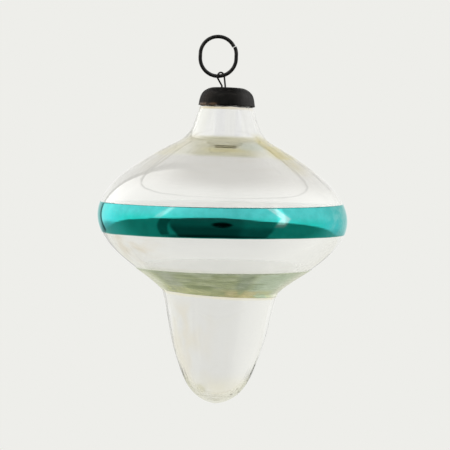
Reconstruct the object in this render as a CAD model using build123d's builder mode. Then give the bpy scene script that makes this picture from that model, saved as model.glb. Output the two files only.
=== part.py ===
"""A hanging blown-glass ornament: a hollow glass top with two lacquer bands, a cap, a wire clip and a ring.

The origin is the hang point, on the inside of the ring's top. Z is up and the ring lies in the XZ plane.
Radii are measured from the glass's own upright axis, and heights from its widest level, the equator.
"""

import os
from math import cos, radians, sin

from build123d import *

# Glass: the outline's radius and height at each place where its shape changes
rim_radius, rim_height = 6.5, 34.2
cap_line_radius, cap_line_height = 7.75, 30.4
neck_foot_radius, neck_foot_height = 10.3, 23.9
shoulder_radius, shoulder_height = 13.4, 21.1
dome_radius, dome_height = 24.7, 14.3
brow_radius, brow_height = 31.9, 7.9
equator_radius, equator_height = 35.0, 0.0
belly_radius, belly_height = 28.7, -11.0
waist_radius, waist_height = 16.3, -20.5
cone_radius, cone_height = 13.4, -33.5
nose_radius, nose_height = 10.4, -42.7
chin_radius, chin_height = 6.4, -49.5
tip_height = -52.5
shoulder_slope = (1.0, -0.5)
waist_slope = (-1.0, -1.0)
wall = 0.8
tip_wall = 1.8
wedge_cuts = 4

# Lacquer: a thin coat on the outside of the glass, its edges leaning a little from level
coat_thickness = 0.1
teal_top, teal_top_lean = 4.3, 1.5
teal_bottom, teal_bottom_lean = -4.5, 1.5
green_top, green_top_lean = -14.2, 1.4
green_bottom, green_bottom_lean = -20.9, -1.4

# Cap: its outside's radius and height from its flat top down to its cut edge
cap_top = 36.5
cap_flat_radius = 3.9
cap_crown_radius, cap_crown_height = 5.45, 36.1
cap_turn_radius, cap_turn_height = 6.8, 35.1
cap_skirt_radius, cap_skirt_height = 7.55, 33.8
cap_radius, cap_bottom = 8.0, 31.2
cap_wall = 0.35
clip_hole_radius = 2.1

# Ring: two half-rounds joined by short straights, split at the upper right
ring_wire = 1.05
ring_bend = 5.03
ring_straight = 1.1
ring_bottom_height = 39.66
ring_left_of_axis = 2.9
eye_round_ring = 11.0
split_angle = 25.5
split_gap_angle = 1.6
split_step = 0.2

# Clip: one wire, with an eye above the cap and two legs clinched below it
clip_wire = 0.5
eye_top_height = 40.72
eye_width = 2.95
throat_width = 1.4
throat_left_of_axis = 1.1
eye_turn = 42.0
leg_length = 3.0
leg_clearance = 0.25
leg_bend = 0.35

eye_left_of_axis = ring_left_of_axis - ring_bend * sin(radians(eye_round_ring))
hang_height = ring_bottom_height + 2 * ring_bend + ring_straight - ring_wire / 2
glass_axis = Axis((ring_left_of_axis, 0, 0), (0, 0, 1))
glass_plane = Plane(origin=(ring_left_of_axis, 0, -hang_height), x_dir=(1, 0, 0), z_dir=(0, -1, 0))

os.makedirs("parts", exist_ok=True)


def glass_side(swell=0.0, tip_swell=0.0):
    """Draw the glass's outline from its rim to its tip, moved outwards by swell, and return its two ends."""
    rim = (rim_radius + swell, rim_height)
    cap_line = (cap_line_radius + swell, cap_line_height)
    neck_foot = (neck_foot_radius + 0.9 * swell, neck_foot_height + 0.4 * swell)
    shoulder = (shoulder_radius + 0.45 * swell, shoulder_height + 0.9 * swell)
    dome = (dome_radius + 0.55 * swell, dome_height + 0.85 * swell)
    brow = (brow_radius + 0.8 * swell, brow_height + 0.6 * swell)
    equator = (equator_radius + swell, equator_height)
    belly = (belly_radius + 0.7 * swell, belly_height - 0.7 * swell)
    waist = (waist_radius + 0.9 * swell, waist_height - 0.4 * swell)
    cone = (cone_radius + swell, cone_height)
    nose = (nose_radius + 0.95 * swell, nose_height - 0.3 * swell)
    chin = (chin_radius + 0.8 * swell, chin_height - 0.7 * tip_swell)
    tip = (0, tip_height - tip_swell)
    Spline(rim, cap_line, neck_foot, shoulder, tangents=[(0.2, -1), shoulder_slope])
    Spline(shoulder, dome, brow, equator, tangents=[shoulder_slope, (0, -1)])
    Spline(equator, belly, waist, tangents=[(0, -1), waist_slope])
    Spline(waist, cone, nose, chin, tip, tangents=[(-0.3, -1), (-1, -0.1)])
    return rim, tip


with BuildPart() as glass_bulb:
    with BuildSketch(glass_plane):
        with BuildLine():
            outer_rim, outer_tip = glass_side()
            inner_rim, inner_tip = glass_side(-wall, -tip_wall)
            ThreePointArc(
                outer_rim, ((outer_rim[0] + inner_rim[0]) / 2, rim_height + wall / 3), inner_rim
            )
            Line(outer_tip, inner_tip)
        make_face()
    revolve(axis=glass_axis)
    # the shell is kept as equal wedges that meet face to face, so a convex hull of one leaves the hollow open
    for cut in range(wedge_cuts):
        turn = radians(180 * (cut + 0.5) / wedge_cuts)
        split(bisect_by=Plane(origin=glass_plane.origin, z_dir=(cos(turn), sin(turn), 0)), keep=Keep.BOTH)
glass_bulb.part.label = "glass_bulb"
export_step(glass_bulb.part, "parts/glass_bulb.step")


def leaning_plane(height, lean):
    """A level plane at a height on the glass's axis, leaning by an angle about Y."""
    tilt = radians(lean)
    return Plane(
        origin=(ring_left_of_axis, 0, height - hang_height),
        x_dir=(cos(tilt), 0, sin(tilt)),
        z_dir=(-sin(tilt), 0, cos(tilt)),
    )


for label, upper_edge, lower_edge in (
    ("teal_band", (teal_top, teal_top_lean), (teal_bottom, teal_bottom_lean)),
    ("green_band", (green_top, green_top_lean), (green_bottom, green_bottom_lean)),
):
    # the coat is drawn over the whole outline and then cut to its two leaning edges
    with BuildPart() as band:
        with BuildSketch(glass_plane):
            with BuildLine():
                bare_rim, bare_tip = glass_side()
                coat_rim, coat_tip = glass_side(coat_thickness, coat_thickness)
                Line(bare_rim, coat_rim)
                Line(bare_tip, coat_tip)
            make_face()
        revolve(axis=glass_axis)
        split(bisect_by=leaning_plane(*upper_edge), keep=Keep.BOTTOM)
        split(bisect_by=leaning_plane(*lower_edge), keep=Keep.TOP)
    band.part.label = label
    export_step(band.part, f"parts/{label}.step")


def cap_side(inset=0.0):
    """Draw the cap's outside, or its inside at an inset, from the flat of its top to its cut edge."""
    flat = (cap_flat_radius, cap_top - inset)
    crown = (cap_crown_radius - 0.4 * inset, cap_crown_height - 0.9 * inset)
    turn = (cap_turn_radius - 0.75 * inset, cap_turn_height - 0.65 * inset)
    skirt = (cap_skirt_radius - inset, cap_skirt_height - 0.2 * inset)
    edge = (cap_radius - inset, cap_bottom)
    Spline(flat, crown, turn, skirt, edge, tangents=[(1, 0), (0.12, -1)])
    return flat, edge


with BuildPart() as cap:
    with BuildSketch(glass_plane):
        with BuildLine():
            outer_flat, outer_edge = cap_side()
            inner_flat, inner_edge = cap_side(cap_wall)
            Line((clip_hole_radius, cap_top), outer_flat)
            Line(outer_edge, inner_edge)
            Line(inner_flat, (clip_hole_radius, cap_top - cap_wall))
            Line((clip_hole_radius, cap_top - cap_wall), (clip_hole_radius, cap_top))
        make_face()
    revolve(axis=glass_axis)
cap.part.label = "cap"
export_step(cap.part, "parts/cap.step")


def clip_point(side, reach, left_of_axis, height):
    """A point beside the eye's middle line: reach to one side along the eye's own width."""
    across = (sin(radians(eye_turn)), cos(radians(eye_turn)))
    return (
        ring_left_of_axis - left_of_axis + side * reach * across[0],
        side * reach * across[1],
        height - hang_height,
    )


with BuildPart() as hanger_clip:
    leg_height = cap_top - cap_wall - leg_clearance - clip_wire / 2
    throat_height = cap_top + clip_wire
    bends = [leg_bend, leg_bend, 0.8 * eye_width / 2, 0.95 * eye_width / 2]
    wide_height = eye_top_height - eye_width / 2
    half_path = (
        (throat_width / 2 + leg_length, throat_left_of_axis, leg_height),
        (throat_width / 2, throat_left_of_axis, leg_height),
        (throat_width / 2, throat_left_of_axis, throat_height),
        (eye_width / 2, eye_left_of_axis, wide_height),
        (eye_width / 2, eye_left_of_axis, eye_top_height),
    )
    with BuildLine() as clip_path:
        FilletPolyline(
            [clip_point(-1, *place) for place in half_path]
            + [clip_point(1, *place) for place in reversed(half_path)],
            radius=bends + bends[::-1],
        )
    with BuildSketch(Plane(origin=clip_path.line @ 0, z_dir=clip_path.line % 0)):
        Circle(clip_wire / 2)
    sweep(path=clip_path.line)
hanger_clip.part.label = "hanger_clip"
export_step(hanger_clip.part, "parts/hanger_clip.step")


ring_plane = Plane(
    origin=(0, 0, ring_bottom_height + ring_bend - hang_height), x_dir=(1, 0, 0), z_dir=(0, -1, 0)
)
with BuildPart() as hanging_ring:
    split_end_bend = ring_bend - split_step / 2
    end_angle = split_angle + split_gap_angle
    with BuildLine(ring_plane) as ring_path:
        CenterArc((0, ring_straight), ring_bend, split_angle, -split_angle)
        Line((ring_bend, ring_straight), (ring_bend, 0))
        CenterArc((0, 0), ring_bend, 0, -180)
        Line((-ring_bend, 0), (-ring_bend, ring_straight))
        CenterArc((split_end_bend - ring_bend, ring_straight), split_end_bend, 180, end_angle - 180)
    with BuildSketch(Plane(origin=ring_path.line @ 0, z_dir=ring_path.line % 0)):
        Circle(ring_wire / 2)
    sweep(path=ring_path.line)
hanging_ring.part.label = "hanging_ring"
export_step(hanging_ring.part, "parts/hanging_ring.step")
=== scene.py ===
"""Looks for a hanging glass ornament: blown glass, two lacquer coats, a black cap, a wire clip and a ring."""
import math
from collections import namedtuple

import bmesh
import bpy
import numpy as np
from mathutils import Matrix, Vector, noise


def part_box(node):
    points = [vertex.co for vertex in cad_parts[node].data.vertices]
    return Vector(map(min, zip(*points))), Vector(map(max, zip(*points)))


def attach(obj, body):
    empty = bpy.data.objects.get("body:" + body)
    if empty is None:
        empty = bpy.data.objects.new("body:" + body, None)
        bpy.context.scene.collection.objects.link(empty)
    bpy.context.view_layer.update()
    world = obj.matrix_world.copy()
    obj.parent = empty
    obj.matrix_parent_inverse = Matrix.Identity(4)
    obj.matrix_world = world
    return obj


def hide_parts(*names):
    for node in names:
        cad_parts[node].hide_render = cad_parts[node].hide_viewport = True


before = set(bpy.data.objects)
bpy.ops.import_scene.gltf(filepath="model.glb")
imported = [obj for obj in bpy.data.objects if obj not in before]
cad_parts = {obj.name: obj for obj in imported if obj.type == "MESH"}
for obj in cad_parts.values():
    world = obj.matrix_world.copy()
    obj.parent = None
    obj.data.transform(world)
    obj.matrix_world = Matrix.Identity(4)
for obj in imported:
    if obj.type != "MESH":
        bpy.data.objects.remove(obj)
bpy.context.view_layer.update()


# ---------------------------------------------------------------- sizes
# Lengths are in mm and angles in degrees, unless a comment says otherwise.
# Heights are counted from the glass's widest level, its equator, and radii from its upright axis.

MM = 0.001
DEGREES = 180 / math.pi
TIP_DEPTH = 52.5
glass_low, glass_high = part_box("glass_bulb")
cap_low, cap_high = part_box("cap")
AXIS_X = (glass_low[0] + glass_high[0]) / 2
EQUATOR_Z = glass_low[2] + TIP_DEPTH * MM

# how finely the outlines are stepped, and how many faces go round
OUTLINE_STEPS, BELLY_STEPS = 22, 32
SEGMENTS, CAP_SEGMENTS = 320, 460

# the glass: its wall, and how far that wanders, over what distance and below what height
WALL, TIP_WALL = 0.8, 1.8
WANDER, WANDER_SIZE, WANDER_TOP = 0.06, 11.0, 28

# the coats: how thick, how far off the glass, how ragged, and in how many rows of faces
COAT, COAT_GAP, RAGGED, COAT_ROWS = 0.1, 0.02, 0.05, 26
# each edge of a coat: its height, its lean, and how far it dips at the front
TEAL_TOP, TEAL_BOTTOM = (4.4, 1.35, 0.55), (-4.2, 1.35, 0.0)
GREEN_TOP, GREEN_BOTTOM = (-14.0, 1.4, 0.0), (-20.9, -1.4, 0.0)
# how much the green coat's edges rise or fall for each mm sideways
GREEN_FALL = 0.0244

# the cap, with its flutes and dents, and how far its cut edge wanders up
CAP_RADIUS = (cap_high[0] - cap_low[0]) / 2 / MM
CAP_TOP = (cap_high[2] - EQUATOR_Z) / MM
CAP_BOTTOM = (cap_low[2] - EQUATOR_Z) / MM
CAP_WALL, CLIP_HOLE = 0.35, 2.1
FLUTES, FLUTE_DEPTH, DENT_DEPTH, EDGE_LIFT = 46, 0.012, 0.05, 0.2

# the camera's lens and sensor, and where it stands and aims
LENS, SENSOR = 128.0, 36.0
VIEW_BACK, VIEW_ASIDE, EYE_HEIGHT, AIM_HEIGHT = 450, 0.8, 16.6, -2.0
ROLL = math.radians(2.2)

# the studio's light, and the backdrop's display colour
TENT, LAMP, BACKDROP = 3.0, 1.5, 0.86
PAPER = (238, 238, 234)


# ---------------------------------------------------------------- outlines

def smooth_curve(points, start_slope, end_slope, steps):
    """Points along the smooth cubic curve through points, which leaves and arrives along the two slopes."""
    # one linear equation for each point gives the slopes that keep the curve's bend unbroken
    p = np.array(points, float)
    t = np.concatenate([[0], np.cumsum(np.linalg.norm(np.diff(p, axis=0), axis=1))])
    n = len(p)
    m = np.eye(n)
    rhs = np.zeros_like(p)
    rhs[0] = np.array(start_slope) / np.linalg.norm(start_slope)
    rhs[-1] = np.array(end_slope) / np.linalg.norm(end_slope)
    for i in range(1, n - 1):
        before, after = t[i] - t[i - 1], t[i + 1] - t[i]
        m[i, i - 1 : i + 2] = after, 2 * (before + after), before
        rhs[i] = 3 * (after * (p[i] - p[i - 1]) / before + before * (p[i + 1] - p[i]) / after)
    slope = np.linalg.solve(m, rhs)
    out = []
    for i in range(n - 1):
        h = t[i + 1] - t[i]
        for k in range(steps):
            s = k / steps
            out.append(
                (2 * s**3 - 3 * s**2 + 1) * p[i]
                + (s**3 - 2 * s**2 + s) * h * slope[i]
                + (3 * s**2 - 2 * s**3) * p[i + 1]
                + (s**3 - s**2) * h * slope[i + 1]
            )
    out.append(p[-1])
    return out


def glass_outline(swell=0.0, tip_swell=0.0):
    """The glass's (radius, height over the equator) in mm from rim to tip, moved outwards by swell."""
    rim = (6.5 + swell, 34.2)
    cap_line = (7.75 + swell, 30.4)
    neck_foot = (10.3 + 0.9 * swell, 23.9 + 0.4 * swell)
    shoulder = (13.4 + 0.45 * swell, 21.1 + 0.9 * swell)
    dome = (24.7 + 0.55 * swell, 14.3 + 0.85 * swell)
    brow = (31.9 + 0.8 * swell, 7.9 + 0.6 * swell)
    equator = (35.0 + swell, 0.0)
    belly = (28.7 + 0.7 * swell, -11.0 - 0.7 * swell)
    waist = (16.3 + 0.9 * swell, -20.5 - 0.4 * swell)
    cone = (13.4 + swell, -33.5)
    nose = (10.4 + 0.95 * swell, -42.7 - 0.3 * swell)
    chin = (6.4 + 0.8 * swell, -49.5 - 0.7 * tip_swell)
    tip = (0.0, -TIP_DEPTH - tip_swell)
    neck = smooth_curve([rim, cap_line, neck_foot, shoulder], (0.2, -1), (1, -0.5), OUTLINE_STEPS)
    top = smooth_curve([shoulder, dome, brow, equator], (1, -0.5), (0, -1), OUTLINE_STEPS)
    under = smooth_curve([equator, belly, waist], (0, -1), (-1, -1), BELLY_STEPS)
    cone_side = smooth_curve([waist, cone, nose, chin, tip], (-0.3, -1), (-1, -0.1), OUTLINE_STEPS)
    return np.array(neck[:-1] + top[:-1] + under[:-1] + cone_side)


OUTER = glass_outline()


def outer_radius(height):
    """The glass's outer radius in mm at a height below the shoulder, where the outline goes one way."""
    falling = OUTER[::-1]
    return float(np.interp(height, falling[:, 1], falling[:, 0]))


def wobble(x, y, z, size, seed):
    """Smooth noise between about -1 and 1, with features about size mm across."""
    return noise.noise(Vector((x / size + seed, y / size - seed, z / size + 0.5 * seed)))


# ---------------------------------------------------------------- meshes

def new_piece(name, bm, body, slot_name, materials, *replaced):
    """Make a smooth-shaded object of a bmesh, put it on the body that it rides on, and hide the CAD nodes
    that it replaces. slot_name is not used.
    """
    mesh = bpy.data.meshes.new(name)
    bm.normal_update()
    bm.to_mesh(mesh)
    bm.free()
    for poly in mesh.polygons:
        poly.use_smooth = True
    for material in materials:
        mesh.materials.append(material)
    obj = bpy.data.objects.new(name, mesh)
    bpy.context.scene.collection.objects.link(obj)
    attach(obj, body)
    if replaced:
        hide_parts(*replaced)
    return obj


def lathe(profile, segments, shape):
    """Turn a closed loop of (radius, height) points in mm round the glass's axis.

    shape(x, y, radius, height) gives the radius and height that a point really gets. A point on the axis is
    made once.
    """
    bm = bmesh.new()
    rings = []
    for radius, height in profile:
        if radius < 1e-6:
            rings.append([bm.verts.new((AXIS_X, 0, EQUATOR_Z + height * MM))])
            continue
        ring = []
        for k in range(segments):
            angle = 2 * math.pi * k / segments
            x, y = radius * math.cos(angle), radius * math.sin(angle)
            r, z = shape(x, y, radius, height)
            place = (AXIS_X + r * math.cos(angle) * MM, r * math.sin(angle) * MM, EQUATOR_Z + z * MM)
            ring.append(bm.verts.new(place))
        rings.append(ring)
    for a, b in zip(rings, rings[1:] + rings[:1]):
        for k in range(segments):
            n = (k + 1) % segments
            corners = [a[k % len(a)], a[n % len(a)], b[n % len(b)], b[k % len(b)]]
            corners = list(dict.fromkeys(corners))
            if len(corners) > 2:
                bm.faces.new(corners)
    bmesh.ops.recalc_face_normals(bm, faces=bm.faces[:])
    return bm


# ---------------------------------------------------------------- materials

def new_material(name):
    """A node material of one Principled shader. Returns it, its tree and the shader."""
    material = bpy.data.materials.new(name)
    material.use_nodes = True
    tree = material.node_tree
    return material, tree, tree.nodes["Principled BSDF"]


def node(tree, kind, **values):
    """Add a node. A value named after an input socket sets or links it, and any other sets a property."""
    made = tree.nodes.new(kind)
    for key, value in values.items():
        if not hasattr(made, key):
            key = key.replace("_", " ")
            target = made.inputs[key]
            if isinstance(value, bpy.types.NodeSocket):
                tree.links.new(value, target)
            else:
                target.default_value = value
        else:
            setattr(made, key, value)
    return made


def calc(tree, operation, *terms):
    """A Math node on up to three numbers or sockets. Returns its output."""
    made = tree.nodes.new("ShaderNodeMath")
    made.operation = operation
    for socket, term in zip(made.inputs, terms):
        if isinstance(term, bpy.types.NodeSocket):
            tree.links.new(term, socket)
        else:
            socket.default_value = term
    return made.outputs[0]


def between(tree, value, low, high, out_low=0.0, out_high=1.0, smooth=True):
    """Map a number from low..high to out_low..out_high, held level outside."""
    made = tree.nodes.new("ShaderNodeMapRange")
    made.interpolation_type = "SMOOTHSTEP" if smooth else "LINEAR"
    for socket, term in zip(made.inputs[:5], (value, low, high, out_low, out_high)):
        if isinstance(term, bpy.types.NodeSocket):
            tree.links.new(term, socket)
        else:
            socket.default_value = term
    return made.outputs[0]


def dimmed(tree, mask, level):
    """1 where a mask is 0, and a level where it is 1."""
    return between(tree, mask, 0.0, 1.0, 1.0, level)


def at_least(tree, mask, level):
    """A mask raised so that it starts from a level and not from 0."""
    return between(tree, mask, 0.0, 1.0, level, 1.0)


def window(tree, value, low, high, soft):
    """1 inside low..high and 0 outside, with soft edges."""
    rise = between(tree, value, low - soft, low + soft)
    return calc(tree, "MULTIPLY", rise, between(tree, value, high + soft, high - soft))


def blend(tree, factor, first, second):
    """Mix two colours (or colour sockets) by a factor."""
    made = tree.nodes.new("ShaderNodeMix")
    made.data_type = "RGBA"
    for name, term in (("Factor", factor), ("A", first), ("B", second)):
        socket = next(s for s in made.inputs if s.name == name and s.enabled)
        if isinstance(term, bpy.types.NodeSocket):
            tree.links.new(term, socket)
        elif isinstance(term, tuple):
            socket.default_value = (*term[:3], 1.0)
        else:
            socket.default_value = term
    return next(s for s in made.outputs if s.name == "Result" and s.enabled)


def srgb(red, green, blue):
    """A display colour of 0-255 as linear light."""
    out = []
    for level in (red, green, blue):
        c = level / 255
        out.append(c / 12.92 if c <= 0.04045 else ((c + 0.055) / 1.055) ** 2.4)
    return tuple(out)


# the shaded point: in mm from the axis and the equator, its turn from the front, and its place unrolled
Spot = namedtuple("Spot", "mm x y z turn flat")
UNROLLED_DEGREE = 0.6


def where(tree):
    """Make the nodes that give the shaded point's Spot."""
    point = node(tree, "ShaderNodeTexCoord").outputs["Object"]
    moved = node(tree, "ShaderNodeVectorMath", operation="SUBTRACT")
    tree.links.new(point, moved.inputs[0])
    moved.inputs[1].default_value = (AXIS_X, 0.0, EQUATOR_Z)
    scaled = node(tree, "ShaderNodeVectorMath", operation="SCALE")
    tree.links.new(moved.outputs[0], scaled.inputs[0])
    scaled.inputs["Scale"].default_value = 1 / MM
    mm = scaled.outputs[0]
    x, y, z = node(tree, "ShaderNodeSeparateXYZ", Vector=mm).outputs
    turn = calc(tree, "ARCTAN2", x, calc(tree, "MULTIPLY", y, -1.0))
    turn = calc(tree, "MULTIPLY", turn, DEGREES)
    unrolled = node(tree, "ShaderNodeCombineXYZ")
    tree.links.new(calc(tree, "MULTIPLY", turn, UNROLLED_DEGREE), unrolled.inputs["X"])
    tree.links.new(z, unrolled.inputs["Z"])
    return Spot(mm, x, y, z, turn, unrolled.outputs[0])


def grain(tree, vector, sizes, detail=4.0, roughness=0.55):
    """Noise between 0 and 1, with features about so many mm long along each axis."""
    scaled = node(tree, "ShaderNodeVectorMath", operation="MULTIPLY")
    tree.links.new(vector, scaled.inputs[0])
    scaled.inputs[1].default_value = tuple(1 / size for size in sizes)
    at = scaled.outputs[0]
    made = node(tree, "ShaderNodeTexNoise", Vector=at, Scale=1.0, Detail=detail, Roughness=roughness)
    return made.outputs[0]


def times(tree, *factors):
    """The product of any number of masks."""
    product = factors[0]
    for factor in factors[1:]:
        product = calc(tree, "MULTIPLY", product, factor)
    return product


def layer(tree, colour, tint, *masks):
    """Lay a tint over a colour where all the masks are 1."""
    return blend(tree, times(tree, *masks), colour, tint)


def near_point(tree, spot, centre, radius):
    """1 within a radius in mm of a point, with a soft edge."""
    made = node(tree, "ShaderNodeVectorMath", operation="DISTANCE")
    tree.links.new(spot.mm, made.inputs[0])
    made.inputs[1].default_value = centre
    return between(tree, made.outputs["Value"], 1.3 * radius, 0.5 * radius)


def seen(red, green, blue):
    """The tint of one glass wall that makes the pale backdrop show through it as a display colour."""
    return tuple(min(1.0, c / b) for c, b in zip(srgb(red, green, blue), srgb(*PAPER)))


def bump(tree, shader, height, strength, distance):
    """Bump the shader's normal by a height from 0 to 1 over a distance in metres."""
    made = node(tree, "ShaderNodeBump", Height=height, Strength=strength, Distance=distance)
    tree.links.new(made.outputs[0], shader.inputs["Normal"])


def green_bottom_level(tree, spot):
    """The height over the green coat's leaning lower edge, plus that edge's height at the axis."""
    return calc(tree, "ADD", spot.z, calc(tree, "MULTIPLY", spot.x, GREEN_FALL))


# Each of the next functions lays some of the glass's old stains and films, and some painted shade and
# reflections, over its colour. front is 1 at the front and fades to 0 past the sides. A window's numbers are
# where a mark starts and ends, and how softly.

def neck_tints(tree, spot, front, colour):
    """The neck: a cool grey film in soft upright strips, and a tan line of painted shadow just under the
    cap's edge.
    """
    height = window(tree, spot.z, 22.7, 31.2, 0.3)
    film = times(tree, front, height, window(tree, spot.x, -9.0, 9.6, 1.0))
    strips = grain(tree, spot.flat, (2.6, 1.0, 40.0), 3.0)
    colour = layer(tree, colour, (0.84, 0.84, 0.85), film, between(tree, strips, 0.3, 0.7, 0.6, 1.0))
    for low, high, depth in ((-3.1, -0.3, 0.45), (2.5, 4.2, 0.5)):
        colour = layer(tree, colour, (0.78, 0.78, 0.82), film, window(tree, spot.x, low, high, 0.4), depth)
    # the neck's left side is a little duller
    colour = layer(tree, colour, (0.88, 0.88, 0.86), window(tree, spot.turn, -105.0, -38.0, 8.0), height)
    # painted shadow: a tan line on the glass just under the cap's edge
    cap_edge_shadow = times(tree, front, window(tree, spot.z, 30.3, 31.0, 0.2))
    return layer(tree, colour, seen(204, 190, 156), cap_edge_shadow, between(tree, spot.x, 8.0, -6.0, 0.35, 1.0))


def shoulder_tints(tree, spot, front, colour):
    """Olive, ochre and bluish streaks where the neck turns into the shoulder, and one short dark dash that is
    a painted reflection of the cap.
    """
    arcs = grain(tree, spot.flat, (16.0, 1.0, 0.7), 5.0, 0.6)
    zone = times(tree, between(tree, spot.z, 16.9, 17.3), between(tree, spot.z, 22.9, 22.2))
    middle = window(tree, spot.x, -9.0, 9.0, 3.5)
    haze = times(tree, zone, at_least(tree, front, 0.2), at_least(tree, middle, 0.45))
    colour = layer(tree, colour, seen(205, 202, 180), haze)
    streaks = times(tree, zone, front, between(tree, arcs, 0.45, 0.7))
    colour = layer(tree, colour, seen(182, 180, 158), streaks, 0.6)
    # yellow below the dash, and bluish grey to its right
    low = times(tree, front, window(tree, spot.z, 18.2, 19.4, 0.4), window(tree, spot.x, -5.0, 6.0, 2.5))
    colour = layer(tree, colour, seen(204, 197, 152), low, between(tree, arcs, 0.35, 0.6, 0.3, 0.8))
    cool = times(tree, front, window(tree, spot.z, 18.9, 21.0, 0.5), window(tree, spot.x, 4.0, 11.0, 1.5))
    colour = layer(tree, colour, seen(188, 196, 186), cool, 0.6)
    # ochre down the right, and a paler yellow on the left
    height = window(tree, spot.z, 14.0, 22.5, 2.0)
    right = times(tree, window(tree, spot.turn, 44.0, 120.0, 7.0), height)
    colour = layer(tree, colour, seen(204, 194, 134), right, between(tree, arcs, 0.3, 0.6, 0.5, 1.0))
    left = times(tree, window(tree, spot.turn, -120.0, -42.0, 8.0), height)
    colour = layer(tree, colour, seen(212, 206, 180), left, between(tree, arcs, 0.35, 0.65, 0.25, 0.9))
    # the shoulder's lower line, and the dash, a painted reflection of the black cap
    line = times(tree, front, window(tree, spot.z, 16.95, 17.2, 0.1), window(tree, spot.x, -8.0, 8.0, 2.5))
    colour = layer(tree, colour, seen(165, 163, 148), line, 0.7)
    cap_reflection_dash = times(tree, front, window(tree, spot.z, 19.52, 19.86, 0.07), window(tree, spot.x, -2.9, 3.2, 0.6))
    return layer(tree, colour, (0.06, 0.05, 0.015), cap_reflection_dash, 0.97)


def dome_tints(tree, spot, front, colour):
    """A grey film of dust on the front below the shoulder, painted shade on the upper dome, and faint arcs.
    """
    film = times(tree, between(tree, spot.z, 17.3, 16.9), window(tree, spot.turn, -66.0, 30.0, 20.0))
    colour = layer(tree, colour, (0.9, 0.9, 0.9), film)
    # painted shade: the front of the upper dome is greyer, darkest high up and fading towards the band
    painted_dome_shade = times(tree, front, between(tree, spot.z, 5.5, 11.5), between(tree, spot.z, 17.2, 16.9))
    colour = layer(tree, colour, (0.80, 0.785, 0.775), painted_dome_shade, 0.85)
    arcs = grain(tree, spot.flat, (22.0, 1.0, 0.8), 4.0, 0.6)
    streaks = times(tree, window(tree, spot.z, 11.5, 16.8, 1.0), between(tree, arcs, 0.52, 0.7))
    return layer(tree, colour, seen(212, 208, 198), front, streaks, 0.55)


def flare_tints(tree, spot, front, colour):
    """Faint brown blots on the left, a haze over the green coat's top, and a pale strip under its bottom."""
    blots = grain(tree, spot.mm, (7.0, 7.0, 3.0), 5.0)
    left = times(tree, front, between(tree, spot.x, -13.0, -22.0), window(tree, spot.z, -12.5, -4.5, 1.5))
    colour = layer(tree, colour, seen(214, 200, 172), left, between(tree, blots, 0.36, 0.75), 0.6)
    middle = window(tree, spot.turn, -60.0, 60.0, 12.0)
    haze = times(tree, front, window(tree, spot.z, -15.0, -13.6, 0.9), middle)
    colour = layer(tree, colour, seen(208, 208, 188), haze, 0.6)
    strip = times(tree, front, window(tree, green_bottom_level(tree, spot), -21.6, -20.8, 0.3))
    return layer(tree, colour, seen(234, 229, 206), strip, between(tree, blots, 0.3, 0.6, 0.4, 0.9))


def cone_tints(tree, spot, front, colour):
    """Large soft cream stains down the cone's left and round its tip."""
    clouds = grain(tree, spot.mm, (6.0, 6.0, 10.0), 3.0, 0.5)
    left = times(tree, front, between(tree, spot.x, 1.0, -8.0), window(tree, spot.z, -46.0, -24.0, 3.0))
    colour = layer(tree, colour, seen(226, 218, 196), left, between(tree, clouds, 0.38, 0.62), 0.45)
    tip = times(tree, front, between(tree, spot.z, -42.0, -47.5))
    return layer(tree, colour, seen(236, 232, 212), tip, between(tree, clouds, 0.25, 0.6, 0.4, 1.0), 0.6)


def tip_marks(tree, spot, front, colour):
    """An olive line round the inside of the tip, a smudge, a few dark specks and two fine scratches."""
    patchy = between(tree, grain(tree, spot.flat, (5.0, 1.0, 5.0), 4.0), 0.35, 0.6, 0.3, 1.0)
    line = times(tree, front, window(tree, spot.z, -49.75, -49.5, 0.1), patchy)
    colour = layer(tree, colour, seen(150, 146, 118), line, between(tree, spot.x, 4.0, -4.0, 0.35, 0.8))
    smudge = near_point(tree, spot, (-4.2, -6.5, -47.5), 1.7)
    colour = layer(tree, colour, seen(204, 200, 168), smudge, 0.5)
    specks = (((4.3, -5.2, -49.0), 0.4), ((6.3, -3.4, -48.4), 0.55), ((1.0, -7.6, -48.6), 0.22))
    for centre, radius in specks:
        colour = layer(tree, colour, seen(64, 58, 46), near_point(tree, spot, centre, radius), 0.95)
    # each scratch runs up from left to right past its place 41 mm down
    drift = calc(tree, "MULTIPLY", calc(tree, "ADD", spot.z, 41.0), 0.38)
    height = window(tree, spot.z, -45.0, -41.5, 0.8)
    for start in (9.7, 9.0):
        aside = calc(tree, "SUBTRACT", calc(tree, "SUBTRACT", spot.x, start), drift)
        scratch = times(tree, front, window(tree, aside, -0.12, 0.12, 0.08), height)
        colour = layer(tree, colour, seen(190, 190, 186), scratch, 0.6)
    return colour


def clear_glass():
    """Old blown glass: clear and a little wavy, tinted and stained where the years have marked it, with some
    painted shade and reflections.
    """
    material, tree, shader = new_material("clear_glass")
    shader.inputs["Transmission Weight"].default_value = 1.0
    shader.inputs["IOR"].default_value = 1.48
    spot = where(tree)
    front = between(tree, calc(tree, "ABSOLUTE", spot.turn), 102.0, 62.0)
    colour = (1.0, 1.0, 1.0)
    for tints in (neck_tints, shoulder_tints, dome_tints, flare_tints, cone_tints, tip_marks):
        colour = tints(tree, spot, front, colour)
    tree.links.new(colour, shader.inputs["Base Color"])
    # a thin film of dust dulls the gloss in places
    dust = grain(tree, spot.mm, (9.0, 9.0, 6.0), 8.0, 0.62)
    tree.links.new(between(tree, dust, 0.5, 0.85, 0.0, 0.05), shader.inputs["Roughness"])
    waves = grain(tree, spot.flat, (5.0, 1.0, 9.0), 2.0)
    bump(tree, shader, waves, 0.1, 0.0004)
    absorb = node(tree, "ShaderNodeVolumeAbsorption", Color=(*srgb(204, 203, 178), 1.0), Density=40.0)
    tree.links.new(absorb.outputs[0], tree.nodes["Material Output"].inputs["Volume"])
    return material


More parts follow.
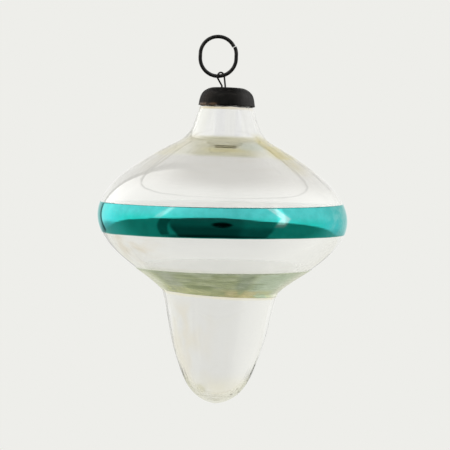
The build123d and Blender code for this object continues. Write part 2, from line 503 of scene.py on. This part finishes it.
def teal_lacquer():
    """Metallic teal lacquer, close to a mirror, with fine brush rings, a painted paler top, two painted
    reflections and a mottled end.
    """
    material, tree, shader = new_material("teal_lacquer")
    shader.inputs["Metallic"].default_value = 1.0
    shader.inputs["Specular Tint"].default_value = (0.6, 0.99, 0.98, 1.0)
    shader.inputs["Coat Weight"].default_value = 0.08
    spot = where(tree)
    rings = grain(tree, spot.flat, (30.0, 1.0, 0.5), 3.0)
    mottle = grain(tree, spot.mm, (3.0, 3.0, 2.0), 6.0)
    lower_teal = blend(tree, between(tree, mottle, 0.35, 0.65), (0.001, 0.172, 0.150), (0.002, 0.196, 0.172))
    painted_lit_top = blend(tree, between(tree, mottle, 0.35, 0.65), (0.022, 0.180, 0.177), (0.028, 0.204, 0.202))
    ends = between(tree, calc(tree, "ABSOLUTE", spot.turn), 42.0, 62.0)
    lower_teal = layer(tree, lower_teal, (0.01, 0.182, 0.186), ends)
    # painted light: the coat is painted paler above its middle than below it, standing in for the bright tent
    # that its upper half reflects
    colour = blend(tree, between(tree, spot.z, -0.5, 2.5), lower_teal, painted_lit_top)
    # two painted reflections of the studio, paler than the lacquer: a faint one on the left, and one bent
    # like an elbow on the right.
    # each path is the turn that the reflection has at a height, and the elbow is 1.5 mm up
    left = calc(tree, "SUBTRACT", calc(tree, "MULTIPLY", spot.z, 2.42), 30.7)
    over_elbow = calc(tree, "MULTIPLY", calc(tree, "SUBTRACT", spot.z, 1.5), 2.6)
    under_elbow = calc(tree, "MULTIPLY", calc(tree, "SUBTRACT", 1.5, spot.z), 1.3)
    right = calc(tree, "SUBTRACT", 28.6, calc(tree, "MAXIMUM", over_elbow, under_elbow))
    for path, half, low, high, depth in ((left, 1.7, 0.7, 4.2, 0.35), (right, 2.3, -0.7, 4.2, 0.75)):
        aside = calc(tree, "SUBTRACT", spot.turn, path)
        reflection_streak = times(tree, window(tree, aside, -half, half, 0.9), window(tree, spot.z, low, high, 0.5))
        patchy = between(tree, mottle, 0.3, 0.6, 0.5, 1.0)
        colour = layer(tree, colour, (0.15, 0.24, 0.24), reflection_streak, depth, patchy)
    pale_end = times(tree, between(tree, spot.turn, 50.0, 80.0), between(tree, mottle, 0.4, 0.6))
    colour = layer(tree, colour, (0.16, 0.255, 0.25), pale_end, 0.75)
    tree.links.new(colour, shader.inputs["Base Color"])
    tree.links.new(between(tree, mottle, 0.4, 0.75, 0.04, 0.12), shader.inputs["Roughness"])
    bump(tree, shader, rings, 0.12, 0.0001)
    return material


def coat_back():
    """The coat's inner face, seen through the clear glass: a pale silvery grey with faint mottling, and a
    painted glow.
    """
    material, tree, shader = new_material("coat_back")
    mottle = grain(tree, where(tree).mm, (4.0, 4.0, 2.0), 5.0)
    colour = blend(tree, between(tree, mottle, 0.3, 0.7), (0.84, 0.86, 0.85), (0.93, 0.94, 0.93))
    tree.links.new(colour, shader.inputs["Base Color"])
    # painted light: the inner face glows a little, standing in for the light that would seep through the thin
    # coat from outside
    shader.inputs["Emission Color"].default_value = (1.0, 1.0, 0.97, 1.0)
    shader.inputs["Emission Strength"].default_value = 0.46
    tree.links.new(between(tree, mottle, 0.3, 0.7, 0.28, 0.45), shader.inputs["Roughness"])
    return material


def green_lacquer():
    """Thin olive-green lacquer, streaked round the glass: grey at its ends, bluer right, ochre low."""
    material, tree, shader = new_material("green_lacquer")
    spot = where(tree)
    streaks = grain(tree, spot.flat, (22.0, 1.0, 0.4), 2.0, 0.4)
    patches = grain(tree, spot.mm, (4.0, 4.0, 2.0), 5.0)
    colour = blend(tree, between(tree, spot.turn, -65.0, -48.0), srgb(208, 210, 188), srgb(160, 170, 120))
    colour = blend(tree, between(tree, spot.turn, 20.0, 32.0), colour, srgb(172, 190, 162))
    colour = blend(tree, between(tree, spot.turn, 48.0, 70.0), colour, srgb(208, 210, 192))
    middle = window(tree, spot.turn, -38.0, 34.0, 10.0)
    dark = times(tree, between(tree, streaks, 0.46, 0.6), at_least(tree, middle, 0.3))
    colour = layer(tree, colour, srgb(118, 132, 78), dark, 0.7)
    grey_patch = window(tree, spot.turn, -50.0, -33.0, 5.0)
    colour = layer(tree, colour, srgb(142, 150, 126), grey_patch, 0.7)
    dark_patch = times(tree, window(tree, spot.turn, 13.0, 24.0, 3.0), between(tree, spot.z, -19.6, -18.6))
    colour = layer(tree, colour, srgb(118, 136, 104), dark_patch, 0.7)
    # the coat's lower edge turns yellow-green, and ochre right of the middle
    low = between(tree, green_bottom_level(tree, spot), -18.2, -19.7)
    ends_off = window(tree, spot.turn, -60.0, 60.0, 8.0)
    low_green = times(tree, low, between(tree, patches, 0.35, 0.6), ends_off)
    colour = layer(tree, colour, srgb(174, 176, 108), low_green, 0.8)
    ochre = times(tree, low, window(tree, spot.turn, 4.0, 38.0, 8.0), between(tree, patches, 0.3, 0.5))
    colour = layer(tree, colour, srgb(184, 170, 106), ochre, 0.7)
    # along its upper edge, which leans the other way, it is a little greyer
    fall = calc(tree, "MULTIPLY", spot.x, GREEN_FALL)
    edge = between(tree, calc(tree, "SUBTRACT", spot.z, fall), -14.9, -14.3)
    colour = layer(tree, colour, srgb(150, 160, 130), edge, 0.7)
    tree.links.new(colour, shader.inputs["Base Color"])
    tree.links.new(between(tree, streaks, 0.3, 0.7, 0.22, 0.42), shader.inputs["Roughness"])
    tree.links.new(between(tree, patches, 0.3, 0.75, 0.92, 0.75), shader.inputs["Alpha"])
    shader.inputs["Metallic"].default_value = 0.25
    bump(tree, shader, streaks, 0.2, 0.0001)
    return material


def blackened_tin():
    """Blackened tinplate with a painted sheen on its right side, browner on the left, brushed round its crown
    and rusty low on the left.
    """
    material, tree, shader = new_material("blackened_tin")
    spot = where(tree)
    drawn = grain(tree, spot.flat, (1.1, 1.0, 14.0), 4.0)
    brushed = grain(tree, spot.flat, (14.0, 1.0, 0.3), 4.0)
    blots = grain(tree, spot.mm, (2.0, 2.0, 2.0), 6.0, 0.6)
    colour = blend(tree, between(tree, blots, 0.35, 0.7), srgb(4, 4, 3), srgb(13, 12, 11))
    # painted highlight: the right side is painted greyer, for the sheen of the light from the right
    right = between(tree, spot.turn, 12.0, 60.0)
    colour = layer(tree, colour, srgb(44, 43, 43), right, between(tree, drawn, 0.3, 0.65, 0.55, 1.0))
    left = between(tree, spot.turn, -18.0, -60.0)
    colour = layer(tree, colour, srgb(28, 24, 21), left, between(tree, blots, 0.3, 0.6, 0.3, 1.0))
    crown = between(tree, spot.z, CAP_TOP - 3.0, CAP_TOP - 1.6)
    colour = layer(tree, colour, srgb(34, 32, 30), crown, between(tree, brushed, 0.5, 0.66), 0.7)
    low = between(tree, spot.z, CAP_BOTTOM + 1.1, CAP_BOTTOM + 0.2)
    rusty = times(tree, low, between(tree, blots, 0.4, 0.52), between(tree, spot.turn, -12.0, -30.0))
    colour = layer(tree, colour, srgb(74, 52, 30), rusty, 0.85)
    tree.links.new(colour, shader.inputs["Base Color"])
    tree.links.new(between(tree, rusty, 0.0, 0.6, 0.75, 0.1), shader.inputs["Metallic"])
    shader.inputs["Specular Tint"].default_value = (0.4, 0.4, 0.4, 1.0)
    shader.inputs["Specular IOR Level"].default_value = 0.3
    tree.links.new(between(tree, blots, 0.3, 0.7, 0.36, 0.6), shader.inputs["Roughness"])
    bump(tree, shader, times(tree, blots, between(tree, drawn, 0.2, 0.8, 0.6, 1.0)), 0.35, 0.00015)
    return material


def dark_wire(name, dark, patchy, rough):
    """Oxidised iron wire: nearly black, mottled, with a worn sheen on its patches."""
    material, tree, shader = new_material(name)
    spot = where(tree)
    blots = grain(tree, spot.mm, (0.9, 0.9, 0.9), 6.0, 0.6)
    fine = grain(tree, spot.mm, (0.25, 0.25, 0.25), 3.0)
    colour = blend(tree, between(tree, blots, 0.4, 0.75), dark, patchy)
    tree.links.new(colour, shader.inputs["Base Color"])
    shader.inputs["Metallic"].default_value = 0.85
    tree.links.new(between(tree, blots, 0.3, 0.7, rough + 0.15, rough - 0.05), shader.inputs["Roughness"])
    bump(tree, shader, fine, 0.3, 0.00006)
    return material


# ---------------------------------------------------------------- pieces

def build_glass():
    """The blown shell: outer and inner walls, joined by a rounded rim and thicker at the tip."""
    outer = [tuple(p) for p in OUTER]
    inner = [tuple(p) for p in glass_outline(-WALL, -TIP_WALL)][::-1]
    # the rim's rounding is a little flatter than a half circle
    middle, half = (outer[0][0] + inner[-1][0]) / 2, WALL / 2
    turns = [math.radians(degrees) for degrees in (150, 120, 90, 60, 30)]
    rim = [(middle + half * math.cos(a), outer[0][1] + 0.6 * half * math.sin(a)) for a in turns]

    def blown(x, y, radius, height):
        """A real blown wall isn't perfectly even. Only the neck's top, which the cap grips, stays true."""
        free = WANDER if height < WANDER_TOP else 0.0
        return radius + free * wobble(x, y, height, WANDER_SIZE, 3.1), height

    bm = lathe(outer + inner + rim, SEGMENTS, blown)
    return new_piece("blown_glass", bm, "bulb", "clear_glass", [clear_glass()], "glass_bulb")


def edge_height(edge, radius, angle, seed):
    """The height of a coat's edge, which leans from left to right and dips a little at the front."""
    height, lean, dip = edge
    c, s = math.cos(angle), math.sin(angle)
    height += radius * c * math.tan(math.radians(lean)) - dip * max(0.0, -s)
    return height + RAGGED * wobble(30 * c, 30 * s, 0, 5.0, seed)


def build_band(name, upper_edge, lower_edge, materials, node_name, slot_name):
    """A lacquer coat on the glass, between two leaning and slightly ragged edges.

    materials holds the coat's own material and that of its inner face, which is seen through the glass.
    """
    bm = bmesh.new()
    probe = 0.05
    middle_radius = outer_radius((upper_edge[0] + lower_edge[0]) / 2)
    angles = [2 * math.pi * k / SEGMENTS for k in range(SEGMENTS)]
    upper = [edge_height(upper_edge, middle_radius, angle, 8.3) for angle in angles]
    lower = [edge_height(lower_edge, middle_radius, angle, 1.7) for angle in angles]
    loop = []
    for offset, order in ((COAT, range(COAT_ROWS + 1)), (COAT_GAP, range(COAT_ROWS, -1, -1))):
        for i in order:
            ring = []
            for angle, high, low in zip(angles, upper, lower):
                height = high + (low - high) * i / COAT_ROWS
                slope = (outer_radius(height - probe) - outer_radius(height + probe)) / (2 * probe)
                out = offset / math.hypot(1, slope)
                radius, rise = outer_radius(height) + out, height + slope * out
                x, y = AXIS_X + radius * math.cos(angle) * MM, radius * math.sin(angle) * MM
                ring.append(bm.verts.new((x, y, EQUATOR_Z + rise * MM)))
            loop.append(ring)
    for j, (a, b) in enumerate(zip(loop, loop[1:] + loop[:1])):
        for k in range(SEGMENTS):
            n = (k + 1) % SEGMENTS
            face = bm.faces.new((a[k], a[n], b[n], b[k]))
            face.material_index = 1 if COAT_ROWS < j < len(loop) - 1 else 0
    bmesh.ops.recalc_face_normals(bm, faces=bm.faces[:])
    return new_piece(name, bm, "bulb", slot_name, materials, node_name)


def cap_side(inset, steps):
    """The cap's (radius, height) from the flat of its top to its cut edge, at an inset from its outside."""
    flat = (3.9, CAP_TOP - inset)
    crown = (5.45 - 0.4 * inset, CAP_TOP - 0.4 - 0.9 * inset)
    turn = (6.8 - 0.75 * inset, CAP_TOP - 1.4 - 0.65 * inset)
    skirt = (7.55 - inset, CAP_TOP - 2.7 - 0.2 * inset)
    edge = (CAP_RADIUS - inset, CAP_BOTTOM)
    return [tuple(p) for p in smooth_curve([flat, crown, turn, skirt, edge], (1, 0), (0.12, -1), steps)]


def build_cap():
    """The pressed cap: thin, faintly fluted down its skirt, with an uneven lower edge and a hole on top."""
    outer = [(CLIP_HOLE, CAP_TOP), (CLIP_HOLE + 0.9, CAP_TOP)] + cap_side(0.0, 8)
    inner = cap_side(CAP_WALL, 6)[::-1] + [(CLIP_HOLE, CAP_TOP - CAP_WALL)]

    def pressed(x, y, radius, height):
        """Flutes fade out towards the top, and the cut edge wanders a little up from level."""
        angle = math.atan2(y, x)
        skirt = min(1.0, max(0.0, (CAP_TOP - 1.6 - height) / 1.5))
        flute = FLUTE_DEPTH * (math.sin(FLUTES * angle) - 1)
        dent = DENT_DEPTH * (wobble(x, y, height, 3.5, 5.5) - 1)
        edge = min(1.0, max(0.0, (CAP_BOTTOM + 1.2 - height) / 1.2))
        lift = EDGE_LIFT * edge * (1 + wobble(x, y, 0, 2.6, 9.1))
        return radius + skirt * (flute + dent), height + lift

    bm = lathe(outer + inner, CAP_SEGMENTS, pressed)
    return new_piece("pressed_cap", bm, "cap", "blackened_tin", [blackened_tin()], "cap")


def give(node_name, material):
    """Put a better material on a CAD node."""
    obj = bpy.data.objects[node_name]
    if not obj.material_slots:
        obj.data.materials.append(material)
    for slot in obj.material_slots:
        slot.material = material


# ---------------------------------------------------------------- studio

def build_backdrop():
    """A pale floor that curves up into a pale tent. It lights nothing: the world lights the object, beside
    the painted glow of the coats' inner face.
    """
    bm = bmesh.new()
    # in metres: the floor's height, the tent's radius and height, and the radius of its two bends
    floor, side, top, bend = -0.36, 1.9, 2.2, 0.8
    segments = 96
    bend_turns = [math.radians(9 * i) for i in range(1, 11)]
    inner = side - bend
    profile = [(0.0, floor), (0.4, floor), (inner, floor)]
    profile += [(inner + bend * math.sin(a), floor + bend - bend * math.cos(a)) for a in bend_turns]
    profile += [(side, top - bend)]
    profile += [(inner + bend * math.cos(a), top - bend + bend * math.sin(a)) for a in bend_turns]
    profile += [(0.0, top)]
    rings = []
    for r, z in profile:
        count = segments if r > 0 else 1
        turns = [2 * math.pi * k / count for k in range(count)]
        rings.append([bm.verts.new((r * math.cos(t), r * math.sin(t), z)) for t in turns])
    for a, b in zip(rings, rings[1:]):
        for k in range(segments):
            corners = [a[k % len(a)], a[(k + 1) % len(a)], b[(k + 1) % len(b)], b[k % len(b)]]
            bm.faces.new(list(dict.fromkeys(corners)))
    mesh = bpy.data.meshes.new("pale_tent")
    bm.to_mesh(mesh)
    bm.free()
    tent = bpy.data.objects.new("pale_tent", mesh)
    bpy.context.scene.collection.objects.link(tent)
    material, tree, shader = new_material("pale_paper")
    shader.inputs["Base Color"].default_value = (0.0, 0.0, 0.0, 1.0)
    shader.inputs["Specular IOR Level"].default_value = 0.0
    shader.inputs["Emission Color"].default_value = (*srgb(*PAPER), 1.0)
    shader.inputs["Emission Strength"].default_value = 1.0
    mesh.materials.append(material)
    tent.visible_diffuse = False
    tent.visible_glossy = False
    tent.visible_shadow = False


def off_from(tree, way, turn, lift):
    """The angle in degrees between a direction and the one at a turn from straight back and a lift."""
    t, e = math.radians(turn), math.radians(lift)
    made = node(tree, "ShaderNodeVectorMath", operation="DOT_PRODUCT")
    tree.links.new(way, made.inputs[0])
    made.inputs[1].default_value = (math.sin(t) * math.cos(e), math.cos(t) * math.cos(e), math.sin(e))
    return calc(tree, "MULTIPLY", calc(tree, "ARCCOSINE", made.outputs["Value"]), DEGREES)


# The next functions give the world's light in a direction. unit is the direction, turn is its angle from
# straight back, negative to the left, off is that angle without its sign, and lift its angle above level.

def tent_light(tree, unit, turn, off, lift):
    """The bright tent round and above the object, with its lit panels, its seams and its opening."""
    # overhead, a little behind, the tent is open and darker, with a seam round the opening
    overhead = off_from(tree, unit, turn=0.0, lift=76.0)
    tent = between(tree, overhead, 8.0, 36.0, 0.03, 1.0)
    seam = window(tree, overhead, 40.5, 42.0, 0.5)
    tent = times(tree, tent, dimmed(tree, seam, 0.25))
    # the backdrop is plainer than the lit panels at the left and right
    left_edge = between(tree, turn, -33.0, -36.0)
    left_panel = times(tree, left_edge, between(tree, turn, -34.0, -56.0, 0.8, 1.12))
    right_panel = between(tree, turn, 14.0, 84.0, 0.33, 0.95)
    panels = calc(tree, "MAXIMUM", left_panel, right_panel)
    panels = calc(tree, "MAXIMUM", panels, between(tree, off, 60.0, 110.0, BACKDROP / TENT, 1.0))
    # low at the back, beside the backdrop, the panels are dimmer
    low_side = times(tree, between(tree, off, 78.0, 46.0), between(tree, lift, -4.0, -14.0))
    low_level = between(tree, turn, -20.0, 20.0, 0.45, 0.8)
    panels = times(tree, panels, dimmed(tree, low_side, low_level))
    gap = window(tree, turn, -33.5, -29.5, 1.0)
    panels = times(tree, panels, dimmed(tree, gap, 0.3))
    # the panel behind the camera is a little dimmer than those at the sides
    panels = times(tree, panels, between(tree, off, 130.0, 170.0, 1.0, 0.82))
    return times(tree, tent, panels, TENT)


def low_light(tree, unit, turn, off, lift):
    """Below the tent's edge: dark in front, darkest low in front, with a pale table and backdrop behind."""
    side = between(tree, off, 60.0, 92.0, 1.0, 0.64)
    low = times(tree, between(tree, off, 25.0, 60.0, 0.27, 0.36), side)
    # in front it is darker, but less so in one part to the right
    shade = between(tree, lift, -8.0, -26.0, 0.42, 0.22)
    shade = times(tree, shade, dimmed(tree, window(tree, turn, 126.0, 161.0, 5.0), 1.6))
    low = times(tree, low, dimmed(tree, between(tree, off, 128.0, 134.0), shade))
    floor = times(tree, between(tree, off, 100.0, 125.0), between(tree, lift, -37.0, -46.0))
    low = times(tree, low, dimmed(tree, floor, 0.3))
    table = between(tree, off_from(tree, unit, turn=0.0, lift=-78.0), 42.0, 26.0, 0.0, 0.25)
    low = calc(tree, "MAXIMUM", low, table)
    # the lens, and the stand below the left lamp
    lens = between(tree, off_from(tree, unit, turn=180.0, lift=-10.0), 7.0, 11.5, 0.04, 1.0)
    stand_turn = calc(tree, "ADD", turn, calc(tree, "MULTIPLY", lift, 0.25))
    stand = times(tree, window(tree, stand_turn, -133.0, -122.0, 1.5), window(tree, lift, -40.0, 14.0, 3.0))
    return times(tree, low, lens, dimmed(tree, stand, 0.35), TENT)


def lamp_light(tree, turn, lift):
    """Two narrow upright lamps, one either side of the camera, the left one weaker."""
    left_turn = calc(tree, "ADD", turn, calc(tree, "MULTIPLY", lift, 0.10))
    left = times(tree, window(tree, left_turn, -126.5, -122.5, 0.8), window(tree, lift, 12.0, 52.0, 3.0))
    right_turn = calc(tree, "ADD", turn, calc(tree, "MULTIPLY", lift, 0.12))
    right = times(tree, window(tree, right_turn, 121.5, 129.5, 1.5), window(tree, lift, -2.0, 46.0, 3.0))
    return calc(tree, "MULTIPLY", calc(tree, "ADD", times(tree, left, 0.6), right), LAMP)


def build_world():
    """The studio as the gloss sees it: a bright tent above, dark low in front, with a lamp on each side."""
    world = bpy.data.worlds.new("studio")
    bpy.context.scene.world = world
    world.use_nodes = True
    tree = world.node_tree
    tree.nodes.clear()
    way = node(tree, "ShaderNodeTexCoord").outputs["Generated"]
    unit = node(tree, "ShaderNodeVectorMath", operation="NORMALIZE")
    tree.links.new(way, unit.inputs[0])
    unit = unit.outputs[0]
    x, y, z = node(tree, "ShaderNodeSeparateXYZ", Vector=unit).outputs
    lift = calc(tree, "MULTIPLY", calc(tree, "ARCSINE", z), DEGREES)
    turn = calc(tree, "MULTIPLY", calc(tree, "ARCTAN2", x, y), DEGREES)
    off = calc(tree, "ABSOLUTE", turn)
    # the tent's lower edge stands highest in front of the object and behind it, and lowest at its sides
    side_edge = between(tree, off, 52.0, 112.0, -15.0, 0.0, smooth=False)
    front_edge = between(tree, off, 112.0, 180.0, 0.0, 13.5, smooth=False)
    horizon = calc(tree, "ADD", side_edge, front_edge)
    above = between(tree, calc(tree, "SUBTRACT", lift, horizon), -1.0, 1.5)
    bright = times(tree, above, tent_light(tree, unit, turn, off, lift))
    dark = times(tree, dimmed(tree, above, 0.0), low_light(tree, unit, turn, off, lift))
    light = calc(tree, "ADD", calc(tree, "ADD", bright, dark), lamp_light(tree, turn, lift))
    # the tent is cooler than what is below its edge
    colour = node(tree, "ShaderNodeCombineColor")
    tree.links.new(light, colour.inputs[0])
    tree.links.new(light, colour.inputs[1])
    tree.links.new(times(tree, light, between(tree, above, 0.0, 1.0, 0.88, 0.98)), colour.inputs[2])
    back = node(tree, "ShaderNodeBackground", Color=colour.outputs[0])
    out = node(tree, "ShaderNodeOutputWorld")
    tree.links.new(back.outputs[0], out.inputs["Surface"])


def build_camera():
    """The photograph's viewpoint: nearly level, straight in front, with a slight roll."""
    camera = bpy.data.objects.new("camera", bpy.data.cameras.new("camera"))
    bpy.context.scene.collection.objects.link(camera)
    bpy.context.scene.camera = camera
    camera.data.lens = LENS
    camera.data.sensor_width = SENSOR
    camera.data.clip_start = 0.02
    aside = AXIS_X + VIEW_ASIDE * MM
    eye = Vector((aside, -VIEW_BACK * MM, EQUATOR_Z + EYE_HEIGHT * MM))
    aim = Vector((aside, 0.0, EQUATOR_Z + AIM_HEIGHT * MM))
    back = (eye - aim).normalized()
    up = Vector((-math.sin(ROLL), 0.0, math.cos(ROLL)))
    right = up.cross(back).normalized()
    up = back.cross(right)
    camera.matrix_world = Matrix(
        (
            (right.x, up.x, back.x, eye.x),
            (right.y, up.y, back.y, eye.y),
            (right.z, up.z, back.z, eye.z),
            (0, 0, 0, 1),
        )
    )


# ---------------------------------------------------------------- the scene

build_glass()
back_face = coat_back()
green = green_lacquer()
build_band("teal_coat", TEAL_TOP, TEAL_BOTTOM, [teal_lacquer(), back_face], "teal_band", "teal_lacquer")
build_band("green_coat", GREEN_TOP, GREEN_BOTTOM, [green, back_face], "green_band", "green_lacquer")
build_cap()
give("hanger_clip", dark_wire("clip_wire", srgb(10, 10, 9), srgb(40, 39, 37), 0.38))
give("hanging_ring", dark_wire("ring_wire", srgb(9, 9, 9), srgb(34, 33, 32), 0.36))
build_backdrop()
build_world()
build_camera()
bpy.context.scene.view_settings.view_transform = "Standard"
# light is reflected many times inside the thick glass at the tip
cycles = bpy.context.scene.cycles
cycles.max_bounces = 32
cycles.glossy_bounces = 24
cycles.transmission_bounces = 32
